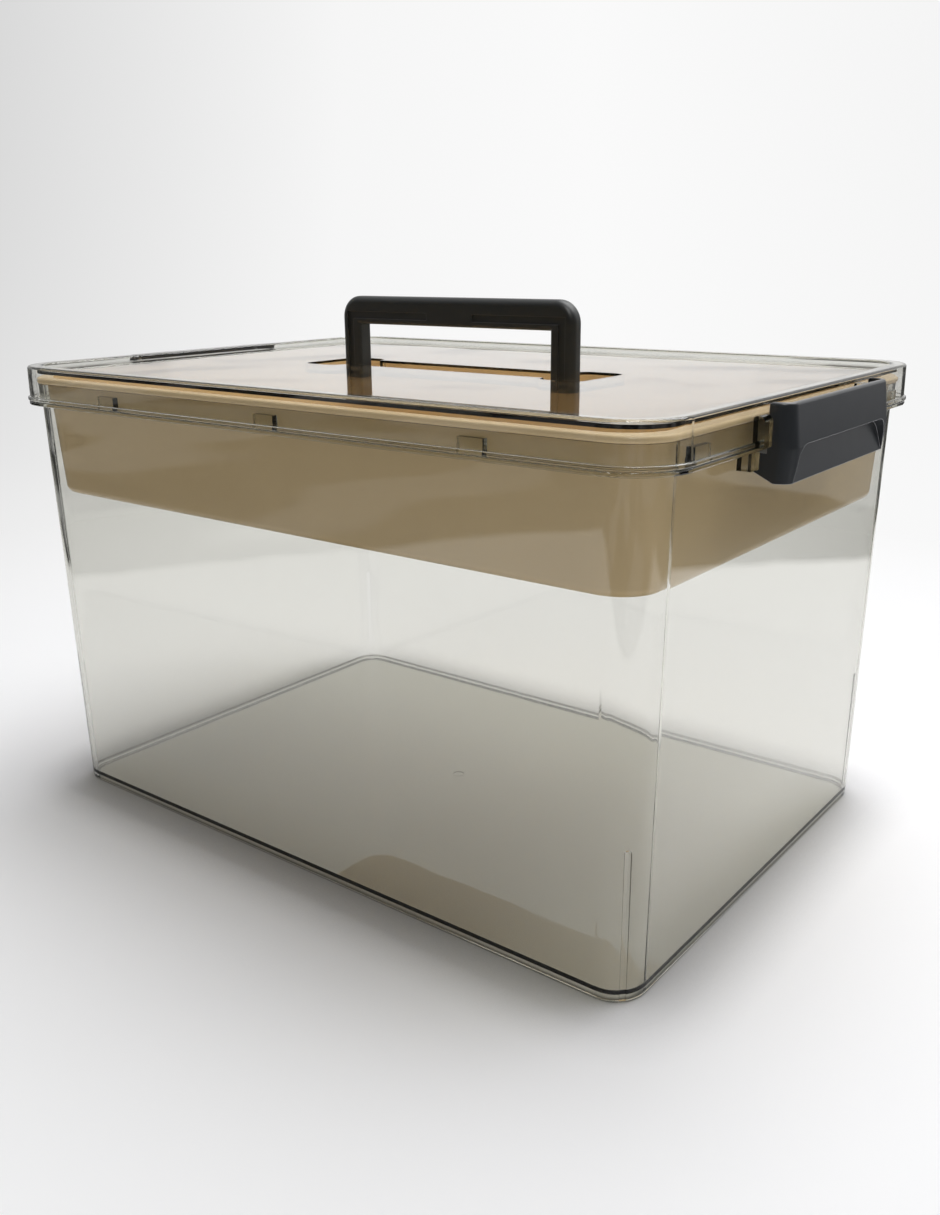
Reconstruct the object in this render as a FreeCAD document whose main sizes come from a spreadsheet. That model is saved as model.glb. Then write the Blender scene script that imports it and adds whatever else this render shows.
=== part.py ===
import FreeCAD, Part
import math
import os
import re
import Sketcher

# Driving sizes, in millimetres and degrees. X runs along the box, Z is up, and the table is at Z = 0.
SIZES = {
    # Tub: outside at the table, and the walls that lean out from there
    "tub_length": 361.8,
    "tub_width": 247.2,
    "tub_height": 223.0,
    "tub_draft": 0.95,
    "tub_corner": 15.0,
    "tub_wall": 2.6,
    "tub_floor": 2.1,
    "floor_round": 0.4,
    "foot_height": 2.4,
    "foot_width": 3.2,
    "foot_round": 1.2,
    "gate_radius": 3.0,
    "gate_depth": 0.5,
    # Tub: upright groove at each corner
    "groove_width": 2.8,
    "groove_top": 68.0,
    "groove_depth": 0.6,
    # Tub: flange, the neck above it, the gap under what rests on the two, and the tabs on the neck
    "neck_height": 8.5,
    "flange_thick": 2.0,
    "flange_proud": 0.5,
    "flange_round": 0.7,
    "seat_gap": 0.15,
    "tab_length": 12.0,
    "tab_height": 6.0,
    "tab_gap": 1.0,
    "tab_pitch": 111.0,
    "end_tab_offset": 98.0,
    # Inner tray, its corners rounder than those of the neck by an ease
    "tray_depth": 57.1,
    "tray_draft": 3.3,
    "tray_wall": 1.8,
    "tray_floor": 2.0,
    "tray_clear": 0.6,
    "corner_ease": 6.5,
    "tray_rim": 2.8,
    "tray_over": 0.8,
    "tray_round": 4.0,
    "rim_edge_round": 1.3,
    # Lid
    "skirt_gap": 3.8,
    "lid_wall": 1.8,
    "lid_draft": 0.8,
    "lip_proud": 1.0,
    "lip_height": 2.0,
    "lip_round": 0.7,
    "tray_gap": 2.15,
    "plate_thick": 1.4,
    "rim_rise": 2.5,
    "rim_width": 7.5,
    "rim_round": 1.3,
    # Lid: sunk seat round the handle
    "seat_depth": 4.5,
    "seat_margin": 14.2,
    "seat_end_length": 24.0,
    "seat_end_margin": 16.5,
    "waist_margin": 9.5,
    "seat_corner": 6.0,
    # Handle
    "grip_length": 121.5,
    "leg_width": 13.0,
    "bar_height": 14.2,
    "handle_thick": 9.0,
    "grip_clear": 25.0,
    "leg_gap": 0.3,
    "handle_corner": 11.0,
    "handle_round": 3.4,
    "grip_round": 1.6,
    "bar_plain": 29.0,
    "channel_depth": 1.0,
    "channel_height": 3.6,
    "channel_low": 2.8,
    "channel_margin": 4.5,
    "stop_height": 3.0,
    "stop_proud": 1.3,
    "stop_ledge": 1.0,
    "stop_gap": 0.3,
    "stop_inset": 2.5,
    # Latches
    "latch_length": 107.0,
    "latch_height": 30.5,
    "latch_drop": 1.0,
    "latch_gap": 1.5,
    "latch_wall": 2.0,
    "latch_top_depth": 8.8,
    "latch_ridge_depth": 10.8,
    "latch_foot_depth": 9.6,
    "latch_corner": 6.0,
    "latch_edge_round": 1.2,
    "ridge_drop": 17.0,
    "hook_reach": 4.0,
    "hook_gap": 0.6,
    "hook_thick": 3.0,
    "hook_height": 7.0,
    "toe_width": 6.5,
    "pull_depth": 4.4,
    "pull_lip": 0.5,
    "pull_top_length": 92.0,
    "pull_foot_length": 98.0,
    "pull_overrun": 3.0,
    "pull_corner": 7.0,
    # Latch hinge and the ribs that guide a latch
    "pivot_out": 3.5,
    "pivot_drop": 4.5,
    "pin_radius": 1.6,
    "pin_clear": 0.1,
    "snap_width": 2.6,
    "lug_wall": 1.1,
    "lug_thick": 5.0,
    "lug_gap": 0.4,
    "guide_gap": 0.5,
    "guide_width": 7.0,
    "guide_proud": 4.5,
    "guide_height": 12.0,
    "under_rib_height": 7.0,
}

# Sizes that follow from the driving ones
FLOOR_TOP = "(foot_height + tub_floor)"
LEAN = "tan(tub_draft)"
NECK_LENGTH = f"(tub_length + 2 * tub_height * {LEAN})"
NECK_WIDTH = f"(tub_width + 2 * tub_height * {LEAN})"
NECK_CORNER = f"(tub_corner + tub_height * {LEAN})"
SEAT = "(tub_height - neck_height)"
FLANGE_UNDER = f"({SEAT} - flange_thick)"
LID_LENGTH = f"({NECK_LENGTH} + 2 * skirt_gap + 2 * lid_wall)"
LID_WIDTH = f"({NECK_WIDTH} + 2 * skirt_gap + 2 * lid_wall)"
LID_CORNER = f"({NECK_CORNER} + skirt_gap + lid_wall)"
LID_END = f"({LID_LENGTH} / 2)"
TRAY_SEAT = "(tub_height + seat_gap)"
TRAY_TOP = f"({TRAY_SEAT} + tray_rim)"
LID_FOOT = f"({SEAT} + seat_gap)"
PLATE_UNDER = f"({TRAY_TOP} + tray_gap)"
PLATE_TOP = f"({PLATE_UNDER} + plate_thick)"
RIM_TOP = f"({PLATE_TOP} + rim_rise)"
LID_HEIGHT = f"({RIM_TOP} - {LID_FOOT})"
LID_LEAN = f"({LID_HEIGHT} * tan(lid_draft))"
SEAT_FLOOR = f"({PLATE_TOP} - seat_depth)"
SEAT_UNDER = f"({SEAT_FLOOR} - plate_thick)"
HANDLE_LENGTH = "(grip_length + 2 * leg_width)"
LEG_CENTRE = "((grip_length + leg_width) / 2)"
BAR_UNDER = f"({SEAT_FLOOR} + grip_clear)"
HANDLE_TOP = f"({BAR_UNDER} + bar_height)"
STOP_TOP = f"({SEAT_UNDER} - stop_gap)"
LEG_END = f"({STOP_TOP} - stop_height)"
LATCH_TOP = f"({RIM_TOP} - latch_drop)"
LATCH_FOOT = f"({LATCH_TOP} - latch_height)"
RIDGE = f"({LATCH_TOP} - ridge_drop)"
LATCH_BACK = f"({LID_END} + lip_proud + latch_gap)"
HOOK_TIP = f"({LID_END} + flange_proud - hook_reach)"
HOOK_TOP = f"({FLANGE_UNDER} - hook_gap)"
HOOK_UNDER = f"({HOOK_TOP} - hook_thick)"
PIVOT_X = f"({LATCH_BACK} + pivot_out)"
PIVOT_Z = f"({LATCH_TOP} - pivot_drop)"
LUG_RADIUS = "(pin_radius + pin_clear + lug_wall)"
LUG_OUTSIDE = "(latch_length / 2 - latch_corner - lug_gap)"
LUG_INSIDE = f"({LUG_OUTSIDE} - lug_thick)"
GUIDE_INSIDE = "(latch_length / 2 + guide_gap)"

SHEET_NAMES = re.compile("|".join(rf"\b{name}\b" for name in SIZES))
NEAR = 1e-3

doc = FreeCAD.newDocument("ArtSupplyBox")
sheet = doc.addObject("Spreadsheet::Sheet", "Sizes")
for row, (size_name, size_value) in enumerate(SIZES.items(), start=1):
    sheet.set(f"A{row}", size_name)
    sheet.set(f"B{row}", str(size_value))
    sheet.setAlias(f"B{row}", size_name)
probe = doc.addObject("App::FeaturePython", "Probe")
probe.addProperty("App::PropertyFloat", "Value")
doc.recompute()


def tied(expression):
    """The expression with each size name pointing at its cell of the sheet."""
    return SHEET_NAMES.sub(lambda found: f"Sizes.{found.group()}", expression)


def number(expression):
    """The expression's value now, to draw a sketch near its solved place and to find edges."""
    probe.setExpression("Value", tied(expression))
    probe.recompute()
    return probe.Value


def origin_plane(body, role):
    """One of the body's own origin planes, by its role."""
    return next(feature for feature in body.Origin.OriginFeatures if feature.Role == role)


def new_body(label):
    """An empty body for one sub-part."""
    body = doc.addObject("PartDesign::Body", label)
    body.Label = label
    return body


def sketch_on(body, name, plane, offset="0"):
    """A sketch on an origin plane of the body, moved along the plane's normal."""
    sketch = body.newObject("Sketcher::SketchObject", name)
    sketch.AttachmentSupport = [(origin_plane(body, plane), "")]
    sketch.MapMode = "FlatFace"
    sketch.setExpression(".AttachmentOffset.Base.z", tied(offset))
    return sketch


def set_place(sketch, geometry, point, x, y):
    """Ties one point of a sketch to its distances from the sketch's origin."""
    for kind, value in (("DistanceX", x), ("DistanceY", y)):
        index = sketch.addConstraint(Sketcher.Constraint(kind, -1, 1, geometry, point, number(value)))
        sketch.setExpression(f"Constraints[{index}]", tied(value))


def set_radius(sketch, geometry, radius):
    """Ties the radius of an arc or circle."""
    index = sketch.addConstraint(Sketcher.Constraint("Radius", geometry, number(radius)))
    sketch.setExpression(f"Constraints[{index}]", tied(radius))


def add_line(sketch, start, end):
    """A straight edge between two points of the sketch."""
    return sketch.addGeometry(Part.LineSegment(FreeCAD.Vector(*start, 0), FreeCAD.Vector(*end, 0)), False)


def add_arc(sketch, centre, radius, start_angle, end_angle):
    """An arc of a circle, with its angles in degrees."""
    circle = Part.Circle(FreeCAD.Vector(*centre, 0), FreeCAD.Vector(0, 0, 1), radius)
    arc = Part.ArcOfCircle(circle, math.radians(start_angle), math.radians(end_angle))
    return sketch.addGeometry(arc, False)


def rounded_rectangle(sketch, length, width, corner, x="0", y="0"):
    """A rectangle with equal round corners, centred on (x, y)."""
    reach_x = number(f"{length} / 2 - {corner}")
    reach_y = number(f"{width} / 2 - {corner}")
    radius = number(corner)
    middle_x = number(x)
    middle_y = number(y)
    arcs = []
    lines = []
    for turn, (sign_x, sign_y) in enumerate(((1, -1), (1, 1), (-1, 1), (-1, -1))):
        centre = (middle_x + sign_x * reach_x, middle_y + sign_y * reach_y)
        arcs.append(add_arc(sketch, centre, radius, 90 * turn - 90, 90 * turn))
    for turn in range(4):
        start = sketch.Geometry[arcs[turn]].EndPoint
        end = sketch.Geometry[arcs[(turn + 1) % 4]].StartPoint
        lines.append(add_line(sketch, (start.x, start.y), (end.x, end.y)))
    for turn in range(4):
        sketch.addConstraint(Sketcher.Constraint("Tangent", arcs[turn], 2, lines[turn], 1))
        sketch.addConstraint(Sketcher.Constraint("Tangent", lines[turn], 2, arcs[(turn + 1) % 4], 1))
        sketch.addConstraint(Sketcher.Constraint("Horizontal" if turn % 2 else "Vertical", lines[turn]))
    for arc in arcs[1:]:
        sketch.addConstraint(Sketcher.Constraint("Equal", arcs[0], arc))
    set_radius(sketch, arcs[0], corner)
    set_place(sketch, arcs[0], 3, f"{x} + {length} / 2 - {corner}", f"{y} - {width} / 2 + {corner}")
    set_place(sketch, arcs[2], 3, f"{x} - {length} / 2 + {corner}", f"{y} + {width} / 2 - {corner}")


def polygon(sketch, points):
    """A closed outline of straight edges, each corner tied to its own place."""
    places = [(number(x), number(y)) for x, y in points]
    count = len(points)
    lines = [add_line(sketch, places[i], places[(i + 1) % count]) for i in range(count)]
    for i in range(count):
        sketch.addConstraint(Sketcher.Constraint("Coincident", lines[i], 2, lines[(i + 1) % count], 1))
    for line, (x, y) in zip(lines, points):
        set_place(sketch, line, 1, x, y)


def rectangle(sketch, left, right, low, high):
    """An upright rectangle between four tied edges."""
    polygon(sketch, [(left, low), (right, low), (right, high), (left, high)])


def circle(sketch, x, y, radius):
    """A circle with its centre and radius tied."""
    centre = FreeCAD.Vector(number(x), number(y), 0)
    geometry = sketch.addGeometry(Part.Circle(centre, FreeCAD.Vector(0, 0, 1), number(radius)), False)
    set_place(sketch, geometry, 3, x, y)
    set_radius(sketch, geometry, radius)


def arch(sketch, left, right, low, high):
    """A rectangle whose upper end is a half circle."""
    radius = number(f"({right} - {left}) / 2")
    x_left = number(left)
    x_right = number(right)
    y_low = number(low)
    y_spring = number(high) - radius
    foot = add_line(sketch, (x_left, y_low), (x_right, y_low))
    right_side = add_line(sketch, (x_right, y_low), (x_right, y_spring))
    crown = add_arc(sketch, ((x_left + x_right) / 2, y_spring), radius, 0, 180)
    left_side = add_line(sketch, (x_left, y_spring), (x_left, y_low))
    sketch.addConstraint(Sketcher.Constraint("Coincident", foot, 2, right_side, 1))
    sketch.addConstraint(Sketcher.Constraint("Tangent", right_side, 2, crown, 1))
    sketch.addConstraint(Sketcher.Constraint("Tangent", crown, 2, left_side, 1))
    sketch.addConstraint(Sketcher.Constraint("Coincident", left_side, 2, foot, 1))
    sketch.addConstraint(Sketcher.Constraint("Vertical", right_side))
    set_place(sketch, foot, 1, left, low)
    set_place(sketch, foot, 2, right, low)
    set_place(sketch, crown, 3, f"({left} + {right}) / 2", f"{high} - ({right} - {left}) / 2")


def tongue(sketch, root, tip_centre, height, radius):
    """A level tongue from x = root whose free end is a half circle about (tip_centre, height)."""
    x_root = number(root)
    x_tip = number(tip_centre)
    y_middle = number(height)
    half = number(radius)
    under = add_line(sketch, (x_root, y_middle - half), (x_tip, y_middle - half))
    end = add_arc(sketch, (x_tip, y_middle), half, -90, 90)
    over = add_line(sketch, (x_tip, y_middle + half), (x_root, y_middle + half))
    back = add_line(sketch, (x_root, y_middle + half), (x_root, y_middle - half))
    sketch.addConstraint(Sketcher.Constraint("Tangent", under, 2, end, 1))
    sketch.addConstraint(Sketcher.Constraint("Tangent", end, 2, over, 1))
    sketch.addConstraint(Sketcher.Constraint("Coincident", over, 2, back, 1))
    sketch.addConstraint(Sketcher.Constraint("Coincident", back, 2, under, 1))
    sketch.addConstraint(Sketcher.Constraint("Vertical", back))
    sketch.addConstraint(Sketcher.Constraint("Horizontal", under))
    sketch.addConstraint(Sketcher.Constraint("Horizontal", over))
    set_place(sketch, end, 3, tip_centre, height)
    set_radius(sketch, end, radius)
    index = sketch.addConstraint(Sketcher.Constraint("DistanceX", -1, 1, back, 1, x_root))
    sketch.setExpression(f"Constraints[{index}]", tied(root))


def flared(sketch, half_top, spread, depth, corner):
    """An outline hung from the sketch's origin, with spreading sides and round upper corners."""
    centre = f"({half_top} - {corner} * (sqrt(1 + {spread} ^ 2) - {spread}))"
    half_foot = f"({half_top} + {spread} * {depth})"
    x_centre = number(centre)
    x_foot = number(half_foot)
    y_foot = -number(depth)
    radius = number(corner)
    lean = math.degrees(math.atan(number(spread)))
    right_arc = add_arc(sketch, (x_centre, -radius), radius, lean, 90)
    left_arc = add_arc(sketch, (-x_centre, -radius), radius, 90, 180 - lean)
    right_start = sketch.Geometry[right_arc].StartPoint
    left_end = sketch.Geometry[left_arc].EndPoint
    right_side = add_line(sketch, (x_foot, y_foot), (right_start.x, right_start.y))
    top = add_line(sketch, (x_centre, 0), (-x_centre, 0))
    left_side = add_line(sketch, (left_end.x, left_end.y), (-x_foot, y_foot))
    foot = add_line(sketch, (-x_foot, y_foot), (x_foot, y_foot))
    sketch.addConstraint(Sketcher.Constraint("Tangent", right_side, 2, right_arc, 1))
    sketch.addConstraint(Sketcher.Constraint("Tangent", right_arc, 2, top, 1))
    sketch.addConstraint(Sketcher.Constraint("Tangent", top, 2, left_arc, 1))
    sketch.addConstraint(Sketcher.Constraint("Tangent", left_arc, 2, left_side, 1))
    sketch.addConstraint(Sketcher.Constraint("Coincident", left_side, 2, foot, 1))
    sketch.addConstraint(Sketcher.Constraint("Coincident", foot, 2, right_side, 1))
    for arc, side in ((right_arc, ""), (left_arc, "-")):
        set_place(sketch, arc, 3, f"{side}{centre}", f"-{corner}")
        set_radius(sketch, arc, corner)
    set_place(sketch, right_side, 1, half_foot, f"-{depth}")
    set_place(sketch, left_side, 2, f"-{half_foot}", f"-{depth}")


def extruded(kind, body, name, sketch, length, draft, backward, both_ways):
    """A pad or pocket of a sketch, with the body's volume before and after it."""
    before = body.Shape.Volume if body.Tip else 0
    feature = body.newObject(f"PartDesign::{kind}", name)
    feature.Profile = sketch
    feature.Reversed = backward
    if both_ways:
        feature.SideType = "Symmetric"
    feature.setExpression("Length", tied(length))
    if draft:
        feature.setExpression("TaperAngle", tied(draft))
    doc.recompute()
    return feature, before, body.Shape.Volume


def pad(body, name, sketch, length, draft="", backward=False, both_ways=False):
    """Adds the sketch's area, pushed out by a length."""
    feature, before, after = extruded("Pad", body, name, sketch, length, draft, backward, both_ways)
    if after <= before:
        raise RuntimeError(f"{name} adds nothing")
    return feature


def pocket(body, name, sketch, length, draft="", backward=False, both_ways=False):
    """Cuts the sketch's area away, to a depth. Backward cuts along the sketch's normal."""
    feature, before, after = extruded("Pocket", body, name, sketch, length, draft, backward, both_ways)
    if after >= before:
        raise RuntimeError(f"{name} cuts nothing")
    return feature


def mirrored(body, name, originals, roles):
    """Repeats features across one or two of the body's origin planes."""
    doc.recompute()
    pattern = body.newObject("PartDesign::MultiTransform", name)
    steps = []
    for role in roles:
        step = body.newObject("PartDesign::Mirrored", f"{name}_{role}")
        step.MirrorPlane = (origin_plane(body, role), [""])
        steps.append(step)
    pattern.Originals = originals
    pattern.Transformations = steps
    body.Tip = pattern
    doc.recompute()
    return pattern


def rounded(body, name, radius, chosen):
    """Rounds the edges of the body that chosen picks."""
    base = body.Tip
    edges = [f"Edge{i}" for i, edge in enumerate(base.Shape.Edges, start=1) if chosen(edge)]
    if not edges:
        raise RuntimeError(f"{name} finds no edge")
    feature = body.newObject("PartDesign::Fillet", name)
    feature.Base = (base, edges)
    feature.setExpression("Radius", tied(radius))
    doc.recompute()
    return feature


def is_level(edge, height):
    """True for an edge that lies at one height."""
    box = edge.BoundBox
    return abs(box.ZMin - height) < NEAR and abs(box.ZMax - height) < NEAR


def reaches(edge, half_length, half_width):
    """True for an edge of the loop whose outside is half_length by half_width."""
    box = edge.BoundBox
    far_x = max(abs(box.XMin), abs(box.XMax))
    far_y = max(abs(box.YMin), abs(box.YMax))
    return abs(far_x - half_length) < NEAR or abs(far_y - half_width) < NEAR


def round_loop(body, name, radius, height, length="", width=""):
    """Rounds a level loop of edges. With a length and width, only the loop of that outside size."""
    level = number(height)
    if length:
        half_length = number(f"{length} / 2")
        half_width = number(f"{width} / 2")
        rounded(body, name, radius, lambda e: is_level(e, level) and reaches(e, half_length, half_width))
    else:
        rounded(body, name, radius, lambda e: is_level(e, level))


def build_tub():
    """Drafted clear tub with a raised floor, corner grooves, a flange, a neck and its tabs."""
    body = new_body("box_tub")
    plan = sketch_on(body, "TubPlan", "XY_Plane")
    rounded_rectangle(plan, "tub_length", "tub_width", "tub_corner")
    pad(body, "TubBlock", plan, "tub_height", draft="tub_draft")
    round_loop(body, "FootRound", "foot_round", "0")

    inside = sketch_on(body, "InsidePlan", "XY_Plane", FLOOR_TOP)
    inset = f"2 * {FLOOR_TOP} * {LEAN} - 2 * tub_wall"
    inside_corner = f"(tub_corner + {FLOOR_TOP} * {LEAN} - tub_wall)"
    rounded_rectangle(inside, f"(tub_length + {inset})", f"(tub_width + {inset})", inside_corner)
    pocket(body, "Inside", inside, f"tub_height - {FLOOR_TOP}", draft="tub_draft", backward=True)
    round_loop(body, "FloorRound", "floor_round", FLOOR_TOP)

    under = sketch_on(body, "UnderPlan", "XY_Plane")
    rounded_rectangle(
        under, "(tub_length - 2 * foot_width)", "(tub_width - 2 * foot_width)", "(tub_corner - foot_width)"
    )
    pocket(body, "UnderFloor", under, "foot_height", backward=True)
    gate = sketch_on(body, "GatePlan", "XY_Plane", "foot_height")
    circle(gate, "0", "0", "gate_radius")
    pocket(body, "Gate", gate, "gate_depth", backward=True)

    flange = sketch_on(body, "FlangePlan", "XY_Plane", FLANGE_UNDER)
    flange_length = f"({LID_LENGTH} + 2 * flange_proud)"
    flange_width = f"({LID_WIDTH} + 2 * flange_proud)"
    rounded_rectangle(flange, flange_length, flange_width, f"({LID_CORNER} + flange_proud)")
    mid_wall = f"2 * {FLANGE_UNDER} * {LEAN} - tub_wall"
    mid_corner = f"(tub_corner + {FLANGE_UNDER} * {LEAN} - tub_wall / 2)"
    rounded_rectangle(flange, f"(tub_length + {mid_wall})", f"(tub_width + {mid_wall})", mid_corner)
    pad(body, "Flange", flange, "flange_thick")
    round_loop(body, "FlangeUnderRound", "flange_round", FLANGE_UNDER, flange_length, flange_width)
    round_loop(body, "FlangeTopRound", "flange_round", SEAT, flange_length, flange_width)

    groove = sketch_on(body, "GroovePlan", "XY_Plane")
    across = FreeCAD.Vector(-1, 1, 0)
    outward = FreeCAD.Vector(1, 1, 0)
    upward = FreeCAD.Vector(0, 0, 1)
    groove.AttachmentOffset = FreeCAD.Placement(
        FreeCAD.Vector(0, 0, 0), FreeCAD.Rotation(across, upward, outward, "ZXY")
    )
    diagonal = "(tub_corner - groove_depth) * cos(45)"
    groove.setExpression(".AttachmentOffset.Base.x", tied(f"tub_length / 2 - tub_corner + {diagonal}"))
    groove.setExpression(".AttachmentOffset.Base.y", tied(f"tub_width / 2 - tub_corner + {diagonal}"))
    arch(groove, "-groove_width / 2", "groove_width / 2", "-foot_round", "groove_top")
    cut = pocket(body, "Groove", groove, f"groove_depth + tub_corner + tub_height * {LEAN}", backward=True)
    mirrored(body, "Grooves", [cut], ("YZ_Plane", "XZ_Plane"))

    tabs = sketch_on(body, "SideTabPlan", "XY_Plane", SEAT)
    tab_root = f"({NECK_WIDTH} / 2 - tub_wall / 2)"
    tab_face = f"({NECK_WIDTH} / 2 + skirt_gap - tab_gap)"
    for step in ("-tab_pitch", "0", "tab_pitch"):
        rectangle(tabs, f"{step} - tab_length / 2", f"{step} + tab_length / 2", tab_root, tab_face)
    side_tabs = pad(body, "SideTabs", tabs, "tab_height")
    mirrored(body, "SideTabPairs", [side_tabs], ("XZ_Plane",))
    tabs = sketch_on(body, "EndTabPlan", "XY_Plane", SEAT)
    tab_root = f"({NECK_LENGTH} / 2 - tub_wall / 2)"
    tab_face = f"({NECK_LENGTH} / 2 + skirt_gap - tab_gap)"
    for side in ("-end_tab_offset", "end_tab_offset"):
        rectangle(tabs, tab_root, tab_face, f"{side} - tab_length / 2", f"{side} + tab_length / 2")
    end_tabs = pad(body, "EndTabs", tabs, "tab_height")
    mirrored(body, "EndTabPairs", [end_tabs], ("YZ_Plane",))

    ribs = sketch_on(body, "UnderRibPlan", "XY_Plane", FLANGE_UNDER)
    rib_root = f"(tub_length / 2 + ({FLANGE_UNDER} - under_rib_height) * {LEAN} - tub_wall / 2)"
    rectangle(ribs, rib_root, LID_END, GUIDE_INSIDE, f"{GUIDE_INSIDE} + guide_width")
    rib = pad(body, "UnderRib", ribs, "under_rib_height", backward=True)
    mirrored(body, "UnderRibs", [rib], ("YZ_Plane", "XZ_Plane"))
    return body


def build_tray():
    """Tan tray that hangs by its rim on the neck of the tub."""
    body = new_body("inner_tray")
    top_length = f"({NECK_LENGTH} - 2 * tub_wall - 2 * tray_clear)"
    top_width = f"({NECK_WIDTH} - 2 * tub_wall - 2 * tray_clear)"
    top_corner = f"({NECK_CORNER} - tub_wall - tray_clear + corner_ease)"
    plan = sketch_on(body, "TrayPlan", "XY_Plane", TRAY_SEAT)
    rounded_rectangle(plan, top_length, top_width, top_corner)
    pad(body, "TrayBlock", plan, "tray_depth", draft="-tray_draft", backward=True)
    round_loop(body, "TrayFootRound", "tray_round", f"{TRAY_SEAT} - tray_depth")

    rim = sketch_on(body, "TrayRimPlan", "XY_Plane", TRAY_SEAT)
    rim_length = f"({NECK_LENGTH} + 2 * tray_over)"
    rim_width = f"({NECK_WIDTH} + 2 * tray_over)"
    rounded_rectangle(rim, rim_length, rim_width, f"({NECK_CORNER} + tray_over)")
    pad(body, "TrayRim", rim, "tray_rim")
    round_loop(body, "TrayRimRound", "rim_edge_round", TRAY_TOP)
    round_loop(body, "TrayRimUnderRound", "rim_edge_round", TRAY_SEAT, rim_length, rim_width)

    inside = sketch_on(body, "TrayInsidePlan", "XY_Plane", TRAY_TOP)
    thin = "2 * tray_wall"
    inside_corner = f"({top_corner} - tray_wall)"
    rounded_rectangle(inside, f"({top_length} - {thin})", f"({top_width} - {thin})", inside_corner)
    hollow = "tray_rim + tray_depth - tray_floor"
    pocket(body, "TrayInside", inside, hollow, draft="-tray_draft")
    round_loop(body, "TrayFloorRound", "tray_round - tray_wall", f"{TRAY_SEAT} - tray_depth + tray_floor")
    return body


def seat_outline(body, name, height, wall):
    """The handle seat's two outlines, a long waist and two wider ends, grown by a wall."""
    length = f"({HANDLE_LENGTH} + 2 * seat_margin + 2 * {wall})"
    waist = f"(handle_thick + 2 * waist_margin + 2 * {wall})"
    end_length = f"(seat_end_length + 2 * {wall})"
    end_width = f"(handle_thick + 2 * seat_end_margin + 2 * {wall})"
    end_centre = f"({HANDLE_LENGTH} / 2 + seat_margin - seat_end_length / 2)"
    corner = f"(seat_corner + {wall})"
    middle = sketch_on(body, f"{name}WaistPlan", "XY_Plane", height)
    rounded_rectangle(middle, length, waist, corner)
    ends = sketch_on(body, f"{name}EndPlan", "XY_Plane", height)
    for side in ("-", ""):
        rounded_rectangle(ends, end_length, end_width, corner, x=f"{side}{end_centre}")
    return middle, ends


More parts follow.
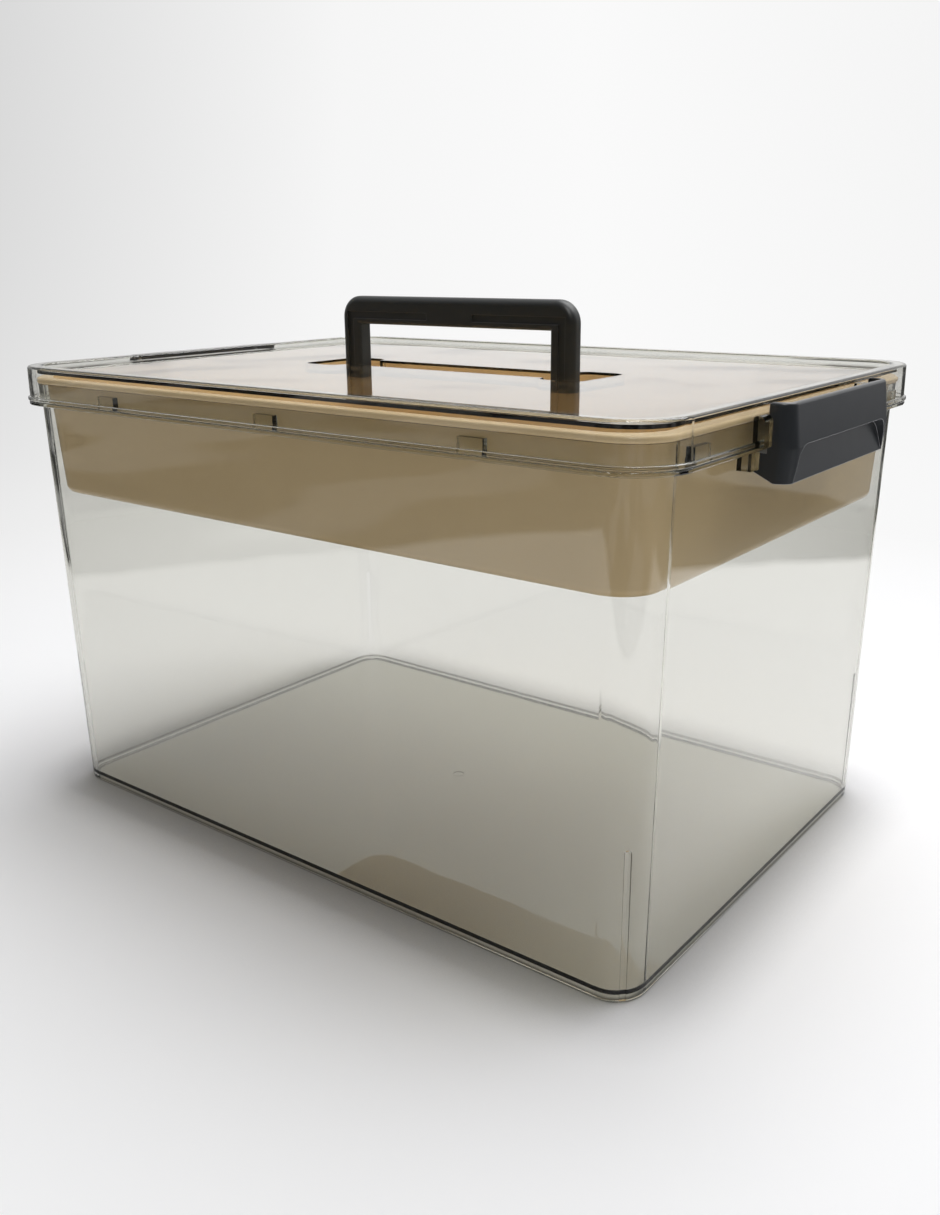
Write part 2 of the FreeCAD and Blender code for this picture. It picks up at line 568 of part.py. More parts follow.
def build_lid():
    """Clear lid with a raised rim, a sunk handle seat, a lipped skirt, hinge lugs and guide ribs."""
    body = new_body("lid")
    plan = sketch_on(body, "LidPlan", "XY_Plane", LID_FOOT)
    rounded_rectangle(plan, LID_LENGTH, LID_WIDTH, LID_CORNER)
    pad(body, "LidBlock", plan, LID_HEIGHT, draft="-lid_draft")
    round_loop(body, "RimOuterRound", "rim_round", RIM_TOP)

    sunk = sketch_on(body, "PlatePlan", "XY_Plane", RIM_TOP)
    sunk_length = f"({LID_LENGTH} - 2 * rim_width)"
    sunk_width = f"({LID_WIDTH} - 2 * rim_width)"
    rounded_rectangle(sunk, sunk_length, sunk_width, f"({LID_CORNER} - rim_width)")
    pocket(body, "SunkPlate", sunk, "rim_rise")
    round_loop(body, "RimInnerRound", "rim_round", RIM_TOP, sunk_length, sunk_width)

    inside = sketch_on(body, "LidInsidePlan", "XY_Plane", LID_FOOT)
    thin = "2 * lid_wall"
    inside_corner = f"({LID_CORNER} - lid_wall)"
    rounded_rectangle(inside, f"({LID_LENGTH} - {thin})", f"({LID_WIDTH} - {thin})", inside_corner)
    pocket(body, "LidInside", inside, f"{PLATE_UNDER} - {LID_FOOT}", draft="-lid_draft", backward=True)
    channel = sketch_on(body, "RimChannelPlan", "XY_Plane", PLATE_UNDER)
    outer = f"2 * (lid_wall + {LID_LEAN})"
    outer_corner = f"({LID_CORNER} - lid_wall - {LID_LEAN})"
    rounded_rectangle(channel, f"({LID_LENGTH} - {outer})", f"({LID_WIDTH} - {outer})", outer_corner)
    inner = "2 * (rim_width - lid_wall)"
    inner_corner = f"({LID_CORNER} - rim_width + lid_wall)"
    rounded_rectangle(channel, f"({LID_LENGTH} - {inner})", f"({LID_WIDTH} - {inner})", inner_corner)
    pocket(body, "RimChannel", channel, "rim_rise", backward=True)

    lip = sketch_on(body, "LipPlan", "XY_Plane", LID_FOOT)
    lip_length = f"({LID_LENGTH} + 2 * lip_proud)"
    lip_width = f"({LID_WIDTH} + 2 * lip_proud)"
    rounded_rectangle(lip, lip_length, lip_width, f"({LID_CORNER} + lip_proud)")
    rounded_rectangle(
        lip, f"({LID_LENGTH} - lid_wall)", f"({LID_WIDTH} - lid_wall)", f"({LID_CORNER} - lid_wall / 2)"
    )
    pad(body, "Lip", lip, "lip_height")
    round_loop(body, "LipUnderRound", "lip_round", LID_FOOT, lip_length, lip_width)
    round_loop(body, "LipTopRound", "lip_round", f"{LID_FOOT} + lip_height", lip_length, lip_width)

    waist, ends = seat_outline(body, "SeatOuter", PLATE_UNDER, "plate_thick")
    pad(body, "SeatOuterWaist", waist, "seat_depth", backward=True)
    pad(body, "SeatOuterEnds", ends, "seat_depth", backward=True)
    waist, ends = seat_outline(body, "SeatInner", PLATE_TOP, "0")
    pocket(body, "SeatInnerWaist", waist, "seat_depth")
    pocket(body, "SeatInnerEnds", ends, "seat_depth")
    slots = sketch_on(body, "LegSlotPlan", "XY_Plane", SEAT_FLOOR)
    slot_half = "(leg_width / 2 + leg_gap)"
    slot_side = "(handle_thick / 2 + leg_gap)"
    for side in ("-", ""):
        centre = f"{side}{LEG_CENTRE}"
        rectangle(slots, f"{centre} - {slot_half}", f"{centre} + {slot_half}", f"-{slot_side}", slot_side)
    pocket(body, "LegSlots", slots, "plate_thick")

    root = f"({LID_END} - lid_wall / 2)"
    lug_plan = sketch_on(body, "LugPlan", "XZ_Plane", LUG_INSIDE)
    tongue(lug_plan, root, PIVOT_X, PIVOT_Z, LUG_RADIUS)
    lug = pad(body, "Lug", lug_plan, "lug_thick")
    bore_plan = sketch_on(body, "LugBorePlan", "XZ_Plane", LUG_INSIDE)
    circle(bore_plan, PIVOT_X, PIVOT_Z, "(pin_radius + pin_clear)")
    bore = pocket(body, "LugBore", bore_plan, "lug_thick", backward=True)
    snap_plan = sketch_on(body, "SnapPlan", "XZ_Plane", LUG_INSIDE)
    snap_end = f"{PIVOT_X} + {LUG_RADIUS} + lug_wall"
    rectangle(snap_plan, PIVOT_X, snap_end, f"{PIVOT_Z} - snap_width / 2", f"{PIVOT_Z} + snap_width / 2")
    snap = pocket(body, "SnapMouth", snap_plan, "lug_thick", backward=True)
    mirrored(body, "Lugs", [lug, bore, snap], ("YZ_Plane", "XZ_Plane"))
    guide_plan = sketch_on(body, "GuidePlan", "XZ_Plane", GUIDE_INSIDE)
    arch(guide_plan, root, f"({LID_END} + guide_proud)", LID_FOOT, f"({LID_FOOT} + guide_height)")
    guide = pad(body, "Guide", guide_plan, "guide_width")
    mirrored(body, "Guides", [guide], ("YZ_Plane", "XZ_Plane"))
    return body


def build_handle():
    """Black bail with rounded edges, an L-shaped channel at each corner and snap stops on its feet."""
    body = new_body("carry_handle")
    half_length = f"{HANDLE_LENGTH} / 2"
    half_grip = "grip_length / 2"
    bail = sketch_on(body, "BailPlan", "XZ_Plane")
    polygon(bail, [
        (f"-{half_length}", LEG_END),
        (f"-{half_grip}", LEG_END),
        (f"-{half_grip}", BAR_UNDER),
        (half_grip, BAR_UNDER),
        (half_grip, LEG_END),
        (half_length, LEG_END),
        (half_length, HANDLE_TOP),
        (f"-{half_length}", HANDLE_TOP),
    ])
    pad(body, "Bail", bail, "handle_thick", both_ways=True)

    top = number(HANDLE_TOP)
    foot = number(LEG_END)
    reach = number(half_length)
    face = number("handle_thick / 2")
    bend = number("handle_corner")

    def is_outer_corner(edge):
        middle = edge.CenterOfMass
        return abs(middle.y) < NEAR and abs(middle.z - top) < NEAR and abs(abs(middle.x) - reach) < NEAR

    def is_face_edge(edge):
        box = edge.BoundBox
        on_face = abs(abs(box.YMin) - face) < NEAR and abs(box.YMax - box.YMin) < NEAR
        return on_face and box.ZMax > foot + NEAR

    def is_outside(edge):
        middle = edge.CenterOfMass
        return abs(middle.x) > reach - bend or middle.z > top - bend

    rounded(body, "BailCorner", "handle_corner", is_outer_corner)
    rounded(body, "BailOuterRound", "handle_round", lambda e: is_face_edge(e) and is_outside(e))
    rounded(body, "BailGripRound", "grip_round", lambda e: is_face_edge(e) and not is_outside(e))

    channel = sketch_on(body, "ChannelPlan", "XZ_Plane", "handle_thick / 2")
    low = f"({BAR_UNDER} + channel_low)"
    high = f"({low} + channel_height)"
    inner = "(grip_length / 2 + channel_margin)"
    outer = f"({HANDLE_LENGTH} / 2 - channel_margin)"
    end = f"({SEAT_UNDER} + stop_height)"
    polygon(channel, [
        ("bar_plain / 2", low),
        (inner, low),
        (inner, end),
        (outer, end),
        (outer, high),
        ("bar_plain / 2", high),
    ])
    cut = pocket(body, "Channel", channel, "channel_depth")
    mirrored(body, "Channels", [cut], ("YZ_Plane", "XZ_Plane"))

    stop = sketch_on(body, "StopPlan", "YZ_Plane", "(grip_length / 2 + stop_inset)")
    proud = "(handle_thick / 2 + stop_proud)"
    polygon(stop, [
        ("0", LEG_END),
        ("handle_thick / 2", LEG_END),
        (proud, f"({STOP_TOP} - stop_ledge)"),
        (proud, STOP_TOP),
        ("0", STOP_TOP),
    ])
    wedge = pad(body, "Stop", stop, "leg_width - 2 * stop_inset")
    mirrored(body, "Stops", [wedge], ("YZ_Plane", "XZ_Plane"))
    return body


def build_latch(label, turn):
    """Thin shell lever with a finger pull, a hook and two trunnions, turned to its end of the box."""
    body = new_body(label)
    top_front = f"({LATCH_BACK} + latch_top_depth)"
    ridge_front = f"({LATCH_BACK} + latch_ridge_depth)"
    foot_front = f"({LATCH_BACK} + latch_foot_depth)"
    side = sketch_on(body, "SidePlan", "XZ_Plane")
    polygon(side, [
        (LATCH_BACK, LATCH_TOP),
        (LATCH_BACK, HOOK_TOP),
        (HOOK_TIP, HOOK_TOP),
        (HOOK_TIP, f"({HOOK_TOP} - hook_height)"),
        (f"({foot_front} - toe_width)", LATCH_FOOT),
        (foot_front, LATCH_FOOT),
        (ridge_front, RIDGE),
        (top_front, LATCH_TOP),
    ])
    pad(body, "LatchBlock", side, "latch_length", both_ways=True)
    half = number("latch_length / 2")
    front = number(f"{foot_front} - latch_wall")

    def is_front_upright(edge):
        middle = edge.CenterOfMass
        return abs(abs(middle.y) - half) < NEAR and middle.x > front and edge.BoundBox.ZLength > NEAR

    rounded(body, "FrontCorner", "latch_corner", is_front_upright)

    pull_top = f"({ridge_front} - pull_depth)"
    pull_foot = f"({foot_front} - pull_lip)"
    pull_rise = f"({RIDGE} - {LATCH_FOOT})"
    upper = sketch_on(body, "UpperHollowPlan", "XZ_Plane")
    slope = "((latch_ridge_depth - latch_top_depth) / ridge_drop)"
    pull_back = f"({pull_top} - latch_wall)"
    polygon(upper, [
        (HOOK_TIP, HOOK_TOP),
        (pull_back, HOOK_TOP),
        (pull_back, f"({RIDGE} + latch_wall)"),
        (f"({top_front} - latch_wall + {slope} * (ridge_drop - latch_wall))", f"({RIDGE} + latch_wall)"),
        (f"({top_front} - latch_wall)", LATCH_TOP),
        (HOOK_TIP, LATCH_TOP),
    ])
    hollow = "latch_length - 2 * latch_wall"
    pocket(body, "UpperHollow", upper, hollow, both_ways=True)
    lower = sketch_on(body, "LowerHollowPlan", "XZ_Plane")
    polygon(lower, [
        (HOOK_TIP, f"({LATCH_FOOT} + latch_wall)"),
        (f"({pull_foot} - latch_wall)", f"({LATCH_FOOT} + latch_wall)"),
        (pull_back, HOOK_UNDER),
        (HOOK_TIP, HOOK_UNDER),
    ])
    pocket(body, "LowerHollow", lower, hollow, both_ways=True)
    inner_half = number("latch_length / 2 - latch_wall")
    inner_front = number(pull_back) + NEAR

    def is_inner_upright(edge):
        middle = edge.CenterOfMass
        upright = edge.BoundBox.ZLength > edge.BoundBox.XLength + edge.BoundBox.YLength
        return upright and abs(abs(middle.y) - inner_half) < NEAR and middle.x > inner_front

    rounded(body, "InnerCorner", "latch_corner - latch_wall", is_inner_upright)

    pull = sketch_on(body, "PullPlan", "YZ_Plane", pull_top)
    pull.AttachmentOffset = FreeCAD.Placement(
        FreeCAD.Vector(0, 0, 0), FreeCAD.Rotation(FreeCAD.Vector(-1, 0, 0), 1)
    )
    pull.setExpression(".AttachmentOffset.Base.y", tied(RIDGE))
    pull_lean = f"atan(({pull_foot} - {pull_top}) / {pull_rise})"
    pull.setExpression(".AttachmentOffset.Rotation.Angle", tied(pull_lean))
    reach = f"({pull_rise} + pull_overrun)"
    spread = f"((pull_foot_length - pull_top_length) / 2 / {pull_rise})"
    flared(pull, "pull_top_length / 2", spread, reach, "pull_corner")
    pocket(body, "Pull", pull, "pull_depth + latch_ridge_depth", backward=True)

    pin = sketch_on(body, "TrunnionPlan", "XZ_Plane", "latch_length / 2 - latch_wall")
    circle(pin, PIVOT_X, PIVOT_Z, "pin_radius")
    trunnion = pad(body, "Trunnion", pin, f"latch_length / 2 - latch_wall - {LUG_INSIDE}", backward=True)
    mirrored(body, "Trunnions", [trunnion], ("XZ_Plane",))
    top = number(LATCH_TOP)
    outside = number(top_front)

    def is_top_outside(edge):
        box = edge.BoundBox
        on_end = max(abs(box.YMin), abs(box.YMax)) > half - NEAR
        return is_level(edge, top) and (on_end or box.XMin > outside - NEAR)

    rounded(body, "LatchTopRound", "latch_edge_round", is_top_outside)
    body.Placement = FreeCAD.Placement(
        FreeCAD.Vector(0, 0, 0), FreeCAD.Rotation(FreeCAD.Vector(0, 0, 1), turn)
    )
    return body


bodies = [
    build_tub(),
    build_tray(),
    build_lid(),
    build_handle(),
    build_latch("latch_right", 0),
    build_latch("latch_left", 180),
]
doc.removeObject(probe.Name)
doc.recompute()

for item in doc.Objects:
    if "Invalid" in item.State or "Error" in item.State:
        raise RuntimeError(f"{item.Label} failed: {item.State}")
for body in bodies:
    if body.Shape.isNull() or not body.Shape.isValid() or len(body.Shape.Solids) != 1:
        raise RuntimeError(f"{body.Label} is not one valid solid")

os.makedirs("parts", exist_ok=True)
for body in bodies:
    body.Shape.exportStep(f"parts/{body.Label}.step")
    box = body.Shape.optimalBoundingBox()
    print(f"{body.Label}: {box.XLength:.1f} x {box.YLength:.1f} x {box.ZLength:.1f} mm")
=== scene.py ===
import math

import bmesh
import bpy
from mathutils import Matrix, Vector

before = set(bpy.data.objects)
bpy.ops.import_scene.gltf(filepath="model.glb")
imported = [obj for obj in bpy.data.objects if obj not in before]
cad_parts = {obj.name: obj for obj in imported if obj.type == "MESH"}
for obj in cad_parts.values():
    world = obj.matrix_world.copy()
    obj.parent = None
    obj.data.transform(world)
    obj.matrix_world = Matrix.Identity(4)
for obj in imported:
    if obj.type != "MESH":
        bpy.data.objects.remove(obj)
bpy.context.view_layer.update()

MILLIMETRE = 0.001
QUARTER_TURN = math.radians(90)

# Foot of the box on the paper, in metres: half its length and width, and its round corners
FOOT_REACH = Vector((0.1809, 0.1236))
FOOT_CORNER = 0.015

# Camera, in metres and degrees: the photograph's place, aim and lens
CAMERA_PLACE = Vector((0.3657, -0.4575, 0.2842))
CAMERA_AIM = Vector((0.0082, 0.0002, 0.1036))
CAMERA_ROLL = -0.534
CAMERA_LENS = 43.38
SENSOR_WIDTH = 36.0

# Bounces of light: enough to pass every wall of a box inside a box
LIGHT_BOUNCES = 32
MIRROR_BOUNCES = 12
CLEAR_BOUNCES = 48

# Soft lamps, in metres and watts: one lights the box from above and behind, one only glints on its edges
KEY_SOFTBOX = {"place": (0.45, 1.2, 2.7), "aim": (0, 0, 0.1), "side": 2.6, "power": 95}
EDGE_SOFTBOX = {
    "place": (0.60, -0.75, 1.35), "aim": (0, 0, 0.2), "side": 0.45, "power": 8, "lights_room": False
}

# Sweep: a pale paper floor that curves up into the backdrop, square to the view
FLOOR_DROP = 0.0003
SWEEP_HALF_WIDTH = 4.0
SWEEP_FRONT = -2.5
SWEEP_BACK = 2.2
SWEEP_RADIUS = 1.2
SWEEP_HEIGHT = 3.0
SWEEP_STEPS = 24
SWEEP_TURN = math.radians(38.0)
PAPER_COLOUR = (0.87, 0.87, 0.885, 1)
PAPER_ROUGHNESS = 0.75
# Backdrop's glowing white, as greys across the sweep that paint shade on its left, and how far from the foot
# it takes over from the lit paper
BACKDROP_REACH = 1.3
BACKDROP_STOPS = ((0.0, 0.66), (0.12, 0.70), (0.40, 0.92), (0.60, 0.955), (1.0, 0.90))
LIT_MARGIN = 0.015
BACKDROP_MARGIN = 0.60
BACKDROP_EASE = 0.6
# Contact shade on the paper round the foot, and a lighter one under the clear floor
SHADE_COLOUR = (0, 0, 0, 1)
CONTACT_REACH = 0.04
CONTACT_SAMPLES = 8
UNDER_SHADE = 0.77
UNDER_FROM = -6 * MILLIMETRE
UNDER_TO = -3 * MILLIMETRE

# Room: dim light all round, pale where it is seen, and dark on the camera's side where the box mirrors it
FILL_COLOUR = (0.310, 0.314, 0.320, 1)
ROOM_COLOUR = (0.854, 0.862, 0.880, 1)
ROOM_DARK_COLOUR = (0.039, 0.039, 0.040, 1)
DARK_SIDE = Vector((0.55, -0.70, -0.45)).normalized()
DARK_FROM = -0.65
DARK_TO = 0.25
# Room beyond the paper's edge, as the box mirrors it: dark, with soft pale patches
PAPER_REACH = 0.62
PAPER_NEAR = 0.55
PAPER_BACK = 1.5
PAPER_BACK_END = 2.0
PAPER_FADE = 0.03
PATCHES = {"size": 0.40, "detail": 1.0}
PATCH_FROM = 0.50
PATCH_TO = 0.55
PATCH_DARK = 0.04
PATCH_BRIGHT = 0.28

# Clear plastic: smoke per metre, what one face lets by of the light that falls through, waves and haze
CLEAR_IOR = 1.53
CLEAR_COLOUR = (1, 1, 1, 1)
SMOKE_COLOUR = (0.36, 0.345, 0.18, 1)
SMOKE_DENSITY = 75.0
SHADE_THROUGH = (0.965, 0.965, 0.960, 1)
WAVES = {"size": 60 * MILLIMETRE, "detail": 1.0}
WAVE_HEIGHT = 1 * MILLIMETRE
WAVE_STRENGTH = 0.12
HAZE = {"size": 25 * MILLIMETRE, "detail": 4.0}
CLEAR_ROUGHNESS = 0.004
HAZE_ROUGHNESS = 0.010

# Opaque plastic: clouds of colour, uneven gloss, and a painted highlight that lightens edges where they are
# sharp enough
OPAQUE_IOR = 1.5
CLOUDS = {"size": 40 * MILLIMETRE, "detail": 3.0}
GLOSS = {"size": 12 * MILLIMETRE, "detail": 4.0}
GLOSS_SPREAD = 0.08
GRAIN_DETAIL = 2.0
EDGE_WIDTH = 0.35 * MILLIMETRE
EDGE_SAMPLES = 8
EDGE_SHARP = 0.95
EDGE_BLUNT = 0.985
TAN_FINISH = {
    "colour": (0.80, 0.607, 0.355, 1),
    "dark_colour": (0.765, 0.575, 0.332, 1),
    "edge_highlight_colour": (0.82, 0.67, 0.46, 1),
    "roughness": 0.25,
    "grain": 0.6 * MILLIMETRE,
    "grain_depth": 0.002 * MILLIMETRE,
}
BLACK_FINISH = {
    "colour": (0.0185, 0.0205, 0.0195, 1),
    "dark_colour": (0.0155, 0.017, 0.0165, 1),
    "edge_highlight_colour": (0.055, 0.058, 0.057, 1),
    "roughness": 0.42,
    "grain": 0.4 * MILLIMETRE,
    "grain_depth": 0.008 * MILLIMETRE,
}
SLATE_FINISH = {
    "colour": (0.025, 0.0275, 0.031, 1),
    "dark_colour": (0.022, 0.0245, 0.0275, 1),
    "edge_highlight_colour": (0.42, 0.42, 0.43, 1),
    "roughness": 0.30,
    "grain": 0.4 * MILLIMETRE,
    "grain_depth": 0.006 * MILLIMETRE,
}

# Where a colour ramp gets a stop before it is moved, and the sockets of a Mix node that carries colours
RAMP_MIDDLE = 0.5
MIX_SHARE = 0
MIX_FIRST = 6
MIX_SECOND = 7
MIX_RESULT = 2


class Wire:
    """A node's output that takes part in Python sums. Each sum adds a Math node."""

    def __init__(self, tree, socket=None):
        self.tree = tree
        self.socket = socket

    def node(self, kind, settings=None, inputs=None, output=0):
        """Adds a node with its settings, then the values or links of its sockets."""
        made = self.tree.nodes.new(f"ShaderNode{kind}")
        for name, value in (settings or {}).items():
            if name == "stops":
                self.set_stops(made.color_ramp, value)
            else:
                setattr(made, name, value)
        for name, value in (inputs or {}).items():
            if isinstance(value, Wire):
                self.tree.links.new(value.socket, made.inputs[name])
            else:
                made.inputs[name].default_value = value
        return Wire(self.tree, made.outputs[output])

    @staticmethod
    def set_stops(ramp, stops):
        """Gives a colour ramp its stops, as (place, grey) pairs."""
        while len(ramp.elements) < len(stops):
            ramp.elements.new(RAMP_MIDDLE)
        for element, (place, grey) in zip(ramp.elements, stops):
            element.position = place
            element.color = (grey, grey, grey, 1)

    def sum(self, operation, first, second):
        return self.node("Math", {"operation": operation}, {0: first, 1: second})

    def __add__(self, other):
        return self.sum("ADD", self, other)

    def __radd__(self, other):
        return self.sum("ADD", other, self)

    def __sub__(self, other):
        return self.sum("SUBTRACT", self, other)

    def __rsub__(self, other):
        return self.sum("SUBTRACT", other, self)

    def __mul__(self, other):
        return self.sum("MULTIPLY", self, other)

    def __rmul__(self, other):
        return self.sum("MULTIPLY", other, self)


def new_material(name):
    """An empty node material, with the wire that adds its nodes."""
    material = bpy.data.materials.new(name)
    material.use_nodes = True
    material.node_tree.nodes.clear()
    return material, Wire(material.node_tree)


def set_output(wire, surface, volume=None, kind="OutputMaterial"):
    """Joins the shaders to the output."""
    links = {"Surface": surface}
    if volume:
        links["Volume"] = volume
    end = wire.tree.nodes.new(f"ShaderNode{kind}")
    for name, value in links.items():
        wire.tree.links.new(value.socket, end.inputs[name])


def noise(wire, size, detail):
    """Noise in object space whose lumps are about size metres across."""
    place = wire.node("TexCoord", output="Object")
    return wire.node("TexNoise", {}, {"Vector": place, "Scale": 1 / size, "Detail": detail})


def ranged(wire, value, low, high, low_value=0.0, high_value=1.0):
    """A value carried smoothly from one range to another, and held at its ends."""
    return wire.node(
        "MapRange",
        {"interpolation_type": "SMOOTHSTEP"},
        {"Value": value, "From Min": low, "From Max": high, "To Min": low_value, "To Max": high_value},
    )


def mixed(wire, share, first, second):
    """A colour carried from the first to the second by share."""
    inputs = {MIX_SHARE: share, MIX_FIRST: first, MIX_SECOND: second}
    return wire.node("Mix", {"data_type": "RGBA"}, inputs, output=MIX_RESULT)


def likeness(wire, first, second):
    """How nearly two directions agree, from -1 to 1."""
    return wire.node("VectorMath", {"operation": "DOT_PRODUCT"}, {0: first, 1: second}, output="Value")


def seen_ray(wire):
    """1 for rays from the camera, from a mirror or through glass, 0 for rays that only carry light."""
    camera_ray = wire.node("LightPath", output="Is Camera Ray")
    glossy_ray = wire.node("LightPath", output="Is Glossy Ray")
    glass_ray = wire.node("LightPath", output="Is Transmission Ray")
    return wire.sum("MAXIMUM", wire.sum("MAXIMUM", camera_ray, glossy_ray), glass_ray)


def mirrored_ray(wire):
    """1 for rays that a glossy face has turned back on their way, 0 for the rest."""
    turns = wire.node("LightPath", output="Glossy Depth")
    return wire.sum("MINIMUM", turns, 1.0)


def clear_smoke_plastic():
    """Lightly smoked clear plastic: moulded waves, a little haze, and smoke that deepens with thickness."""
    material, wire = new_material("clear_smoke_plastic")
    waves = noise(wire, **WAVES)
    bump = wire.node("Bump", {}, {"Height": waves, "Strength": WAVE_STRENGTH, "Distance": WAVE_HEIGHT})
    haze = noise(wire, **HAZE)
    plastic = wire.node(
        "BsdfPrincipled",
        {},
        {
            "Base Color": CLEAR_COLOUR,
            "Roughness": CLEAR_ROUGHNESS + HAZE_ROUGHNESS * haze,
            "IOR": CLEAR_IOR,
            "Transmission Weight": 1.0,
            "Normal": bump,
        },
    )
    shade = wire.node("BsdfTransparent", {}, {"Color": SHADE_THROUGH})
    shadow_ray = wire.node("LightPath", output="Is Shadow Ray")
    diffuse_ray = wire.node("LightPath", output="Is Diffuse Ray")
    light_ray = wire.sum("MAXIMUM", shadow_ray, diffuse_ray)
    surface = wire.node("MixShader", {}, {0: light_ray, 1: plastic, 2: shade})
    smoke = wire.node("VolumeAbsorption", {}, {"Color": SMOKE_COLOUR, "Density": SMOKE_DENSITY})
    set_output(wire, surface, smoke)
    return material


def moulded_plastic(name, colour, dark_colour, edge_highlight_colour, roughness, grain, grain_depth):
    """Opaque moulded plastic: fine grain, uneven gloss, faint clouds of colour and a painted highlight along
    sharp edges.
    """
    material, wire = new_material(name)
    tone = mixed(wire, noise(wire, **CLOUDS), dark_colour, colour)
    eased = wire.node("Bevel", {"samples": EDGE_SAMPLES}, {"Radius": EDGE_WIDTH})
    flat = wire.node("NewGeometry", output="Normal")
    # Painted highlight: sharp edges, found where the bevelled normal parts from the flat one, are lightened
    # toward the edge highlight colour
    painted_edge_highlight = ranged(wire, likeness(wire, eased, flat), EDGE_SHARP, EDGE_BLUNT, 1.0, 0.0)
    fine = noise(wire, grain, GRAIN_DETAIL)
    bump = wire.node("Bump", {}, {"Height": fine, "Strength": 1.0, "Distance": grain_depth, "Normal": eased})
    plastic = wire.node(
        "BsdfPrincipled",
        {},
        {
            "Base Color": mixed(wire, painted_edge_highlight, tone, edge_highlight_colour),
            "Roughness": roughness - GLOSS_SPREAD / 2 + GLOSS_SPREAD * noise(wire, **GLOSS),
            "IOR": OPAQUE_IOR,
            "Normal": bump,
        },
    )
    set_output(wire, plastic)
    return material


def dress(node, material):
    """Gives a CAD node its material."""
    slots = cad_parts[node].data.materials
    slots.clear()
    slots.append(material)


def distance_from_foot(wire, place):
    """How far a point of the floor lies outside the box's foot. Height doesn't count."""
    core = (FOOT_REACH.x - FOOT_CORNER, FOOT_REACH.y - FOOT_CORNER, SWEEP_HEIGHT)
    aside = wire.node("VectorMath", {"operation": "ABSOLUTE"}, {0: place})
    aside = wire.node("VectorMath", {"operation": "SUBTRACT"}, {0: aside, 1: core})
    aside = wire.node("VectorMath", {"operation": "MAXIMUM"}, {0: aside, 1: (0, 0, 0)})
    return wire.node("VectorMath", {"operation": "LENGTH"}, {0: aside}, output="Value") - FOOT_CORNER


def sweep_paper():
    """Paper that takes the box's shadow near by, and far off glows an even white but for painted shade that
    greys it to the left.
    """
    material, wire = new_material("sweep_paper")
    place = wire.node("TexCoord", output="Object")
    outside = distance_from_foot(wire, place)
    turned = wire.node("Mapping", {}, {"Vector": place, "Rotation": (0, 0, -SWEEP_TURN), "Scale": (1, 1, 0)})
    across = wire.node("SeparateXYZ", {}, {0: turned}, output="X")
    along = wire.node("SeparateXYZ", {}, {0: turned}, output="Y")

    reach = {"Distance": CONTACT_REACH}
    contact = wire.node("AmbientOcclusion", {"samples": CONTACT_SAMPLES}, reach, output="AO")
    under = ranged(wire, outside, UNDER_FROM, UNDER_TO, UNDER_SHADE, 0.0)
    tone = mixed(wire, wire.sum("MAXIMUM", contact, under), SHADE_COLOUR, PAPER_COLOUR)
    paper = wire.node("BsdfPrincipled", {}, {"Base Color": tone, "Roughness": PAPER_ROUGHNESS})

    # Painted shade: the backdrop's glow runs greyer toward the left across the sweep
    step = {"Value": across, "From Min": -BACKDROP_REACH, "From Max": BACKDROP_REACH}
    white = wire.node("ValToRGB", {"stops": BACKDROP_STOPS}, {0: wire.node("MapRange", {}, step)})
    sideways = wire.node("Math", {"operation": "ABSOLUTE"}, {0: across}) - PAPER_REACH
    beyond = wire.sum("MAXIMUM", sideways, -PAPER_NEAR - along)
    beside = ranged(wire, along, PAPER_BACK, PAPER_BACK_END, 1.0, 0.0)
    dark = ranged(wire, beyond, 0.0, PAPER_FADE) * beside * mirrored_ray(wire)
    patches = ranged(wire, noise(wire, **PATCHES), PATCH_FROM, PATCH_TO, PATCH_DARK, PATCH_BRIGHT)
    glow = wire.node("Emission", {}, {"Color": mixed(wire, dark, white, patches)})

    spread = {"Value": outside, "From Min": LIT_MARGIN, "From Max": BACKDROP_MARGIN}
    far = wire.sum("POWER", wire.node("MapRange", {}, spread), BACKDROP_EASE) * seen_ray(wire)
    share = wire.sum("MAXIMUM", far, dark)
    set_output(wire, wire.node("MixShader", {}, {0: share, 1: paper, 2: glow}))
    return material


def build_sweep():
    """Pale floor that curves up into the backdrop."""
    shape = bmesh.new()
    front = shape.verts.new((0, SWEEP_FRONT, -FLOOR_DROP))
    back = shape.verts.new((0, SWEEP_BACK - SWEEP_RADIUS, -FLOOR_DROP))
    shape.edges.new((front, back))
    bmesh.ops.spin(
        shape,
        geom=[back],
        cent=(0, SWEEP_BACK - SWEEP_RADIUS, SWEEP_RADIUS - FLOOR_DROP),
        axis=(1, 0, 0),
        angle=QUARTER_TURN,
        steps=SWEEP_STEPS,
    )
    top = max(shape.verts, key=lambda v: v.co.z)
    grown = bmesh.ops.extrude_vert_indiv(shape, verts=[top])
    bmesh.ops.translate(shape, verts=grown["verts"], vec=(0, 0, SWEEP_HEIGHT - SWEEP_RADIUS))
    bmesh.ops.translate(shape, verts=shape.verts, vec=(-SWEEP_HALF_WIDTH, 0, 0))
    grown = bmesh.ops.extrude_edge_only(shape, edges=shape.edges[:])
    moved = [item for item in grown["geom"] if isinstance(item, bmesh.types.BMVert)]
    bmesh.ops.translate(shape, verts=moved, vec=(2 * SWEEP_HALF_WIDTH, 0, 0))
    bmesh.ops.recalc_face_normals(shape, faces=shape.faces)
    bmesh.ops.rotate(shape, verts=shape.verts, matrix=Matrix.Rotation(SWEEP_TURN, 3, "Z"))
    for face in shape.faces:
        face.smooth = True
    mesh = bpy.data.meshes.new("studio_sweep")
    shape.to_mesh(mesh)
    shape.free()
    mesh.materials.append(sweep_paper())
    sweep = bpy.data.objects.new("studio_sweep", mesh)
    bpy.context.scene.collection.objects.link(sweep)


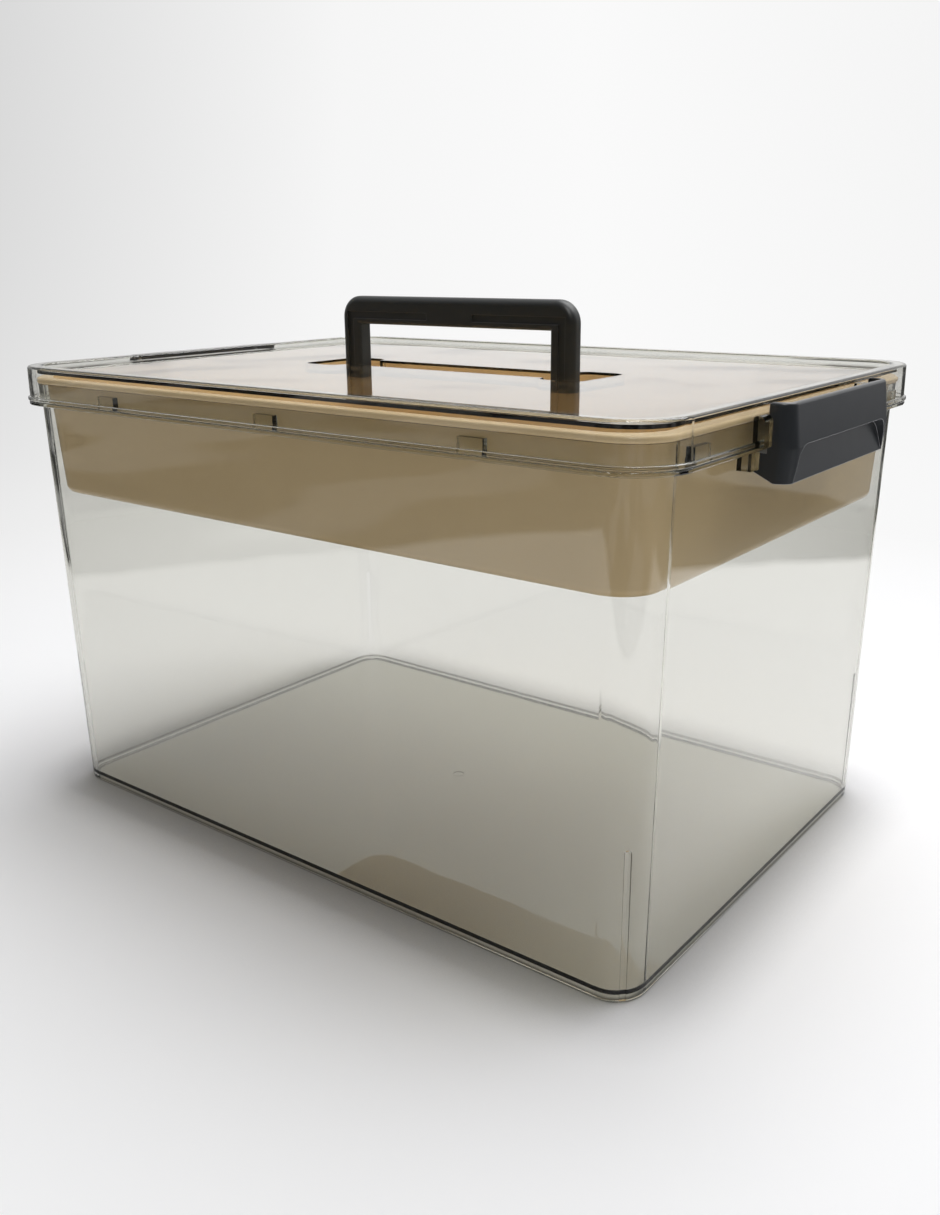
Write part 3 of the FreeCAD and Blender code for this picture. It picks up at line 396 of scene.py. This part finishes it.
def build_world():
    """The room: even dim light, seen as pale all round and mirrored as dark on the camera's side."""
    world = bpy.data.worlds.new("studio_room")
    bpy.context.scene.world = world
    world.use_nodes = True
    world.node_tree.nodes.clear()
    wire = Wire(world.node_tree)
    direction = wire.node("TexCoord", output="Generated")
    dark = ranged(wire, likeness(wire, direction, DARK_SIDE), DARK_FROM, DARK_TO) * mirrored_ray(wire)
    room = mixed(wire, dark, ROOM_COLOUR, ROOM_DARK_COLOUR)
    light = wire.node("Background", {}, {"Color": mixed(wire, seen_ray(wire), FILL_COLOUR, room)})
    set_output(wire, light, kind="OutputWorld")


def add_softbox(name, place, aim, side, power, lights_room=True):
    """A square soft lamp that faces aim. One that doesn't light the room only glints on edges."""
    lamp = bpy.data.lights.new(name, "AREA")
    lamp.shape = "SQUARE"
    lamp.size = side
    lamp.energy = power
    softbox = bpy.data.objects.new(name, lamp)
    softbox.location = place
    softbox.rotation_euler = (Vector(aim) - Vector(place)).to_track_quat("-Z", "Y").to_euler()
    softbox.visible_diffuse = lights_room
    softbox.visible_transmission = False
    bpy.context.scene.collection.objects.link(softbox)


def build_camera():
    """The photograph's camera."""
    lens = bpy.data.cameras.new("photo_camera")
    lens.sensor_fit = "HORIZONTAL"
    lens.sensor_width = SENSOR_WIDTH
    lens.lens = CAMERA_LENS
    camera = bpy.data.objects.new("photo_camera", lens)
    camera.location = CAMERA_PLACE
    aim = (CAMERA_AIM - CAMERA_PLACE).to_track_quat("-Z", "Y").to_matrix()
    roll = Matrix.Rotation(math.radians(CAMERA_ROLL), 3, "Z")
    camera.rotation_euler = (aim @ roll).to_euler()
    bpy.context.scene.collection.objects.link(camera)
    bpy.context.scene.camera = camera


def set_light_paths():
    """How often light may bounce."""
    cycles = bpy.context.scene.cycles
    cycles.max_bounces = LIGHT_BOUNCES
    cycles.transmission_bounces = LIGHT_BOUNCES
    cycles.glossy_bounces = MIRROR_BOUNCES
    cycles.transparent_max_bounces = CLEAR_BOUNCES


bpy.context.scene.view_settings.view_transform = "Standard"
set_light_paths()
build_camera()
build_world()
build_sweep()
add_softbox("key_softbox", **KEY_SOFTBOX)
add_softbox("edge_softbox", **EDGE_SOFTBOX)

clear = clear_smoke_plastic()
tan = moulded_plastic("tan_plastic", **TAN_FINISH)
black = moulded_plastic("black_plastic", **BLACK_FINISH)
slate = moulded_plastic("slate_plastic", **SLATE_FINISH)
dress("box_tub", clear)
dress("lid", clear)
dress("inner_tray", tan)
dress("carry_handle", black)
dress("latch_right", slate)
dress("latch_left", slate)
